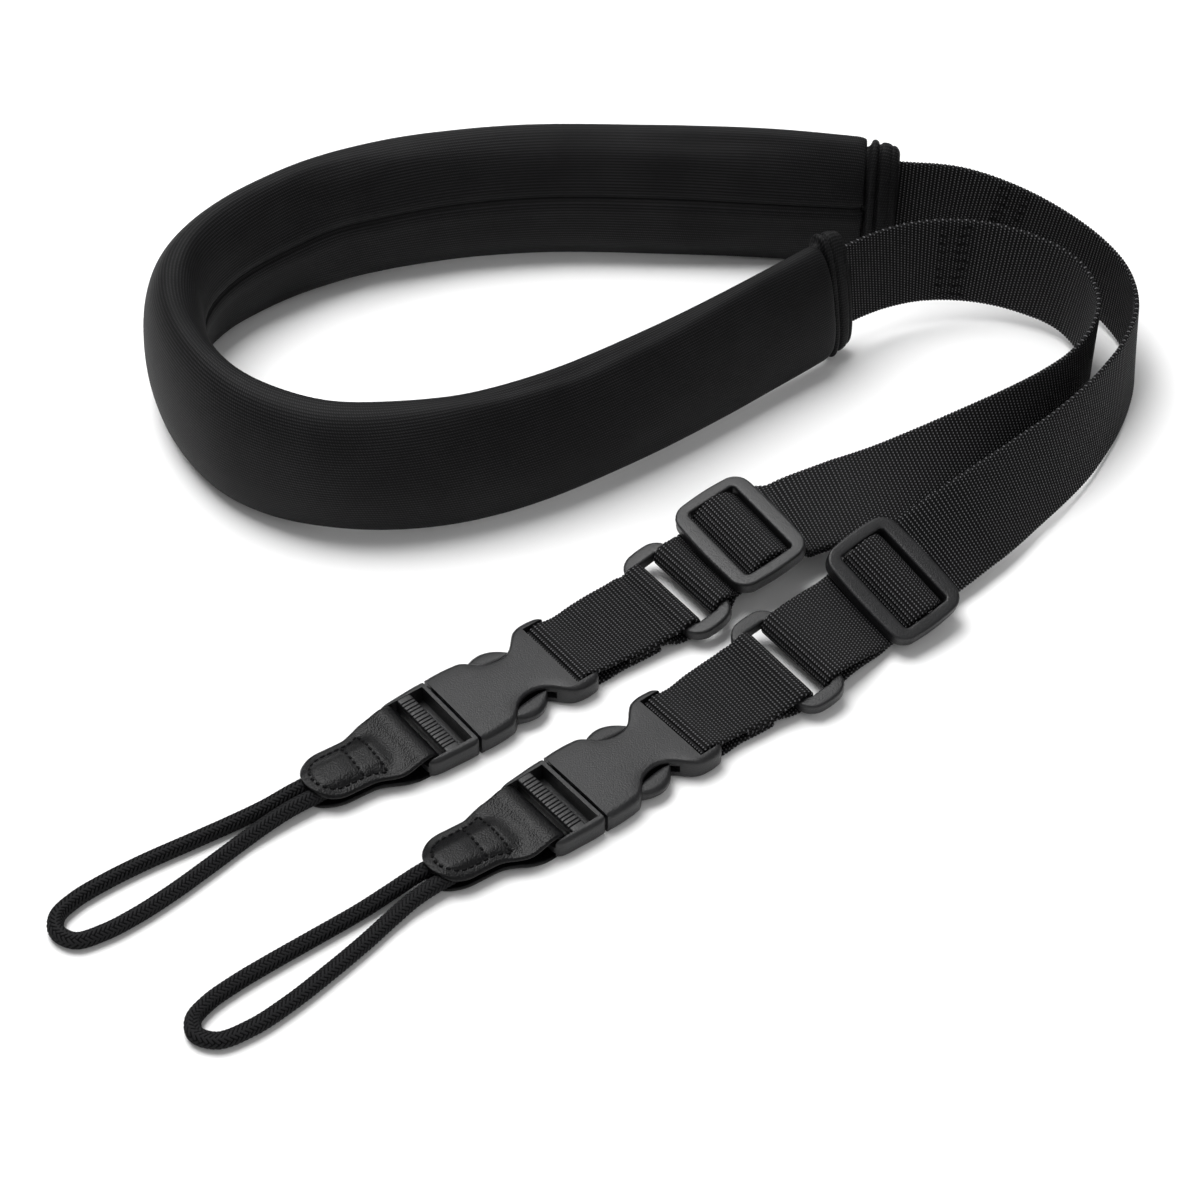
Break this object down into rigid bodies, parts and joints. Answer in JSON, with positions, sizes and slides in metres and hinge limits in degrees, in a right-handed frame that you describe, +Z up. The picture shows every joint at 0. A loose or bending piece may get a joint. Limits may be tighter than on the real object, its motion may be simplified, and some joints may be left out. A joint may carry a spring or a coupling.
{
  "type": "camera neck strap",
  "caption": "Padded camera neck strap laid on a table: foam neck pad on edge, webbing straps with sliders and rings, side-release buckles, leather tabs and cord loops.",
  "frame": {"origin": "centre of the laid strap's bounding box, without the cord loops, on the surface it lies on", "axes": "+Z up from the surface; +X from the cord loops' side towards the bend of the straps; +Y from the buckles towards the neck pad"},
  "size_m": [0.2826, 0.3063, 0.0415],
  "materials": {
    "pad_cover": "fine matte twill over foam",
    "webbing": "ribbed matte weave",
    "moulded_plastic": "fine-grained satin moulding",
    "leather": "fine-grained matte",
    "braid": "braided sleeve"
  },
  "bodies": {
    "root": {"neck_pad": "pad_cover", "pad_cuff_far": "pad_cover", "pad_cuff_near": "pad_cover", "strap_near": "webbing", "slider_near": "moulded_plastic", "ring_near": "moulded_plastic", "buckle_loop_near": "webbing", "buckle_female_near": "moulded_plastic", "buckle_male_near": "moulded_plastic", "leather_tab_near": "leather", "cord_loop_near": "braid", "strap_far": "webbing", "slider_far": "moulded_plastic", "ring_far": "moulded_plastic", "buckle_loop_far": "webbing", "buckle_female_far": "moulded_plastic", "buckle_male_far": "moulded_plastic", "leather_tab_far": "leather", "cord_loop_far": "braid"}
  },
  "joints": []
}
